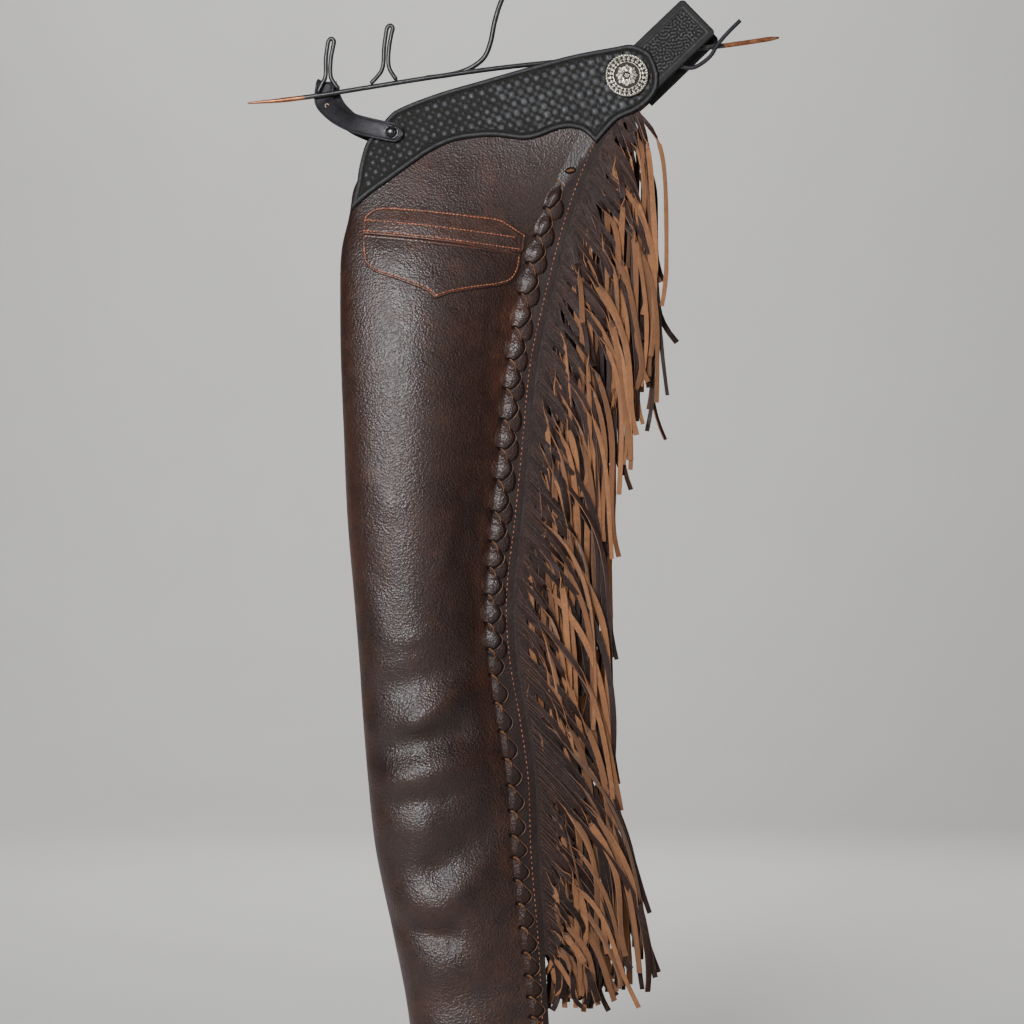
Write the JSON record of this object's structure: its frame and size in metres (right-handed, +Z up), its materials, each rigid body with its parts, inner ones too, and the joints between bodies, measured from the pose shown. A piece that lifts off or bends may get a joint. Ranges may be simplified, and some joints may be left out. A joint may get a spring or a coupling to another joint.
{
  "type": "leather chaps on a wire hanger",
  "caption": "Fringed shotgun chaps with a stamped yoke, folded in half and hung on a wire hanger by its hook.",
  "frame": {"origin": "inner top of the hanger's hook, where it rests on whatever holds it up", "axes": "+Z up, +X to the right along the rod towards the back belt, -Y the outward face of the near leg"},
  "size_m": [0.5512, 0.2012, 1.1734],
  "materials": {
    "leg_leather": "smooth grain, worn, soft sheen",
    "braid_leather": "smooth, rounded, soft sheen",
    "fringe_suede": "suede flesh side, dark grain side",
    "belt_leather": "stamped, waxed",
    "strap_leather": "smooth, waxed",
    "concho_metal": "antique silver",
    "rivet_metal": "black, polished",
    "hanger_wire": "black, worn to copper at the rod's ends"
  },
  "bodies": {
    "root": {"leg_near": "leg_leather", "leg_far": "leg_leather", "seam_braid_near": "braid_leather", "seam_braid_far": "braid_leather", "fringe_near": "fringe_suede", "fringe_far": "fringe_suede", "yoke_near": "belt_leather", "yoke_far": "belt_leather", "pocket_near": "leg_leather", "pocket_far": "leg_leather", "pocket_band_near": "leg_leather", "pocket_band_far": "leg_leather", "back_belt_near": "belt_leather", "back_belt_far": "belt_leather", "concho_near": "concho_metal", "concho_far": "concho_metal", "rivet_near": "rivet_metal", "rivet_far": "rivet_metal", "front_strap": "strap_leather", "back_lace": "strap_leather", "hanger_rod": "hanger_wire", "hanger_stem": "hanger_wire", "hanger_prong_front": "hanger_wire", "hanger_prong_middle": "hanger_wire"}
  },
  "joints": []
}
